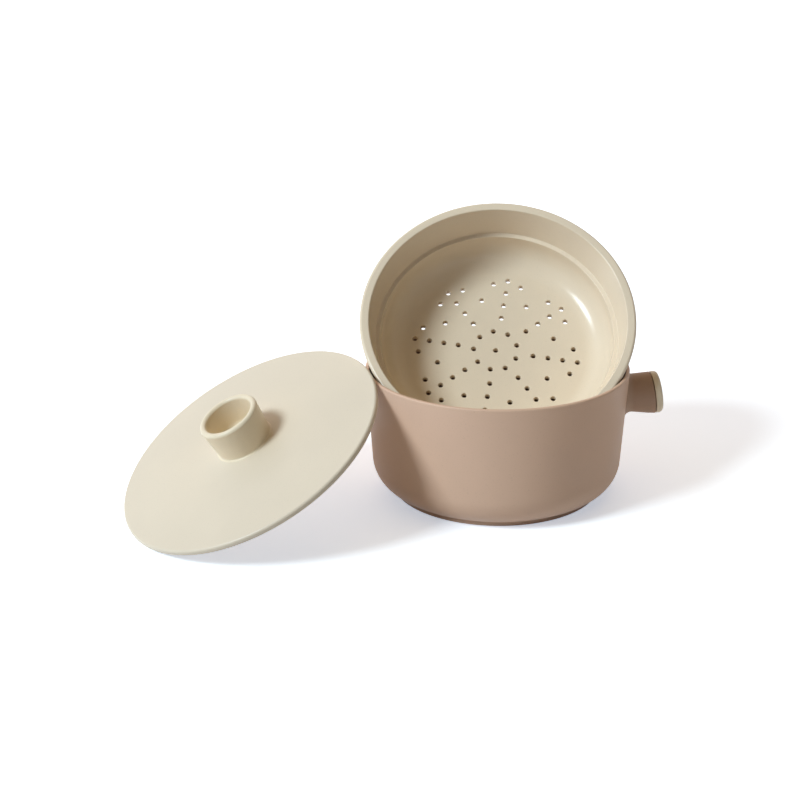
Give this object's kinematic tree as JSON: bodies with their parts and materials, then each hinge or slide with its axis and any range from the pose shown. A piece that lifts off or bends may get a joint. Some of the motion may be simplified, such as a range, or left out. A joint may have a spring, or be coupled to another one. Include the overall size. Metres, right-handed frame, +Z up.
{
  "type": "steamer pot",
  "caption": "Round coated cooking pot with a stub handle, a perforated steaming insert tilted in its mouth, and a crowned lid with a hollow knob leaning on the rim.",
  "frame": {"origin": "centre of the base, on the surface that the pot stands on", "axes": "+Z up along the pot's axis, +X out along the handle, -Y the side that the open insert faces"},
  "size_m": [0.4097, 0.2465, 0.2051],
  "materials": {
    "pot_coating": "cast aluminium with a matt dusty-pink non-stick coating",
    "insert_glaze": "cast aluminium with a glossy cream ceramic coating",
    "lid_coating": "cast aluminium with a satin cream ceramic coating",
    "grip_resin": "moulded heat-proof resin, matt dusty pink",
    "cream_resin": "moulded heat-proof resin, satin cream",
    "stainless_steel": "plain stainless steel, lightly brushed",
    "brass": "plain turned brass",
    "silicone": "matt grey-beige silicone"
  },
  "bodies": {
    "pot": {"pot_body": "pot_coating", "base_disc": "stainless_steel", "handle_grip": "grip_resin", "handle_threaded_insert": "stainless_steel", "handle_washer": "stainless_steel", "handle_bolt": "stainless_steel", "handle_end_cap": "cream_resin"},
    "insert": {"steamer_insert": "insert_glaze"},
    "lid": {"lid_plate": "lid_coating", "lid_knob": "cream_resin", "knob_gasket": "silicone", "knob_threaded_insert": "brass", "knob_washer": "stainless_steel", "knob_screw": "stainless_steel"}
  },
  "joints": [
    {"name": "insert_lift", "type": "slide", "parent": "pot", "child": "insert", "axis": [0, 0, 1], "range_m": [0, 0.12]},
    {"name": "lid_lift", "type": "slide", "parent": "pot", "child": "lid", "axis": [-0.4242, -0.241, 0.8729], "range_m": [0, 0.12]}
  ]
}
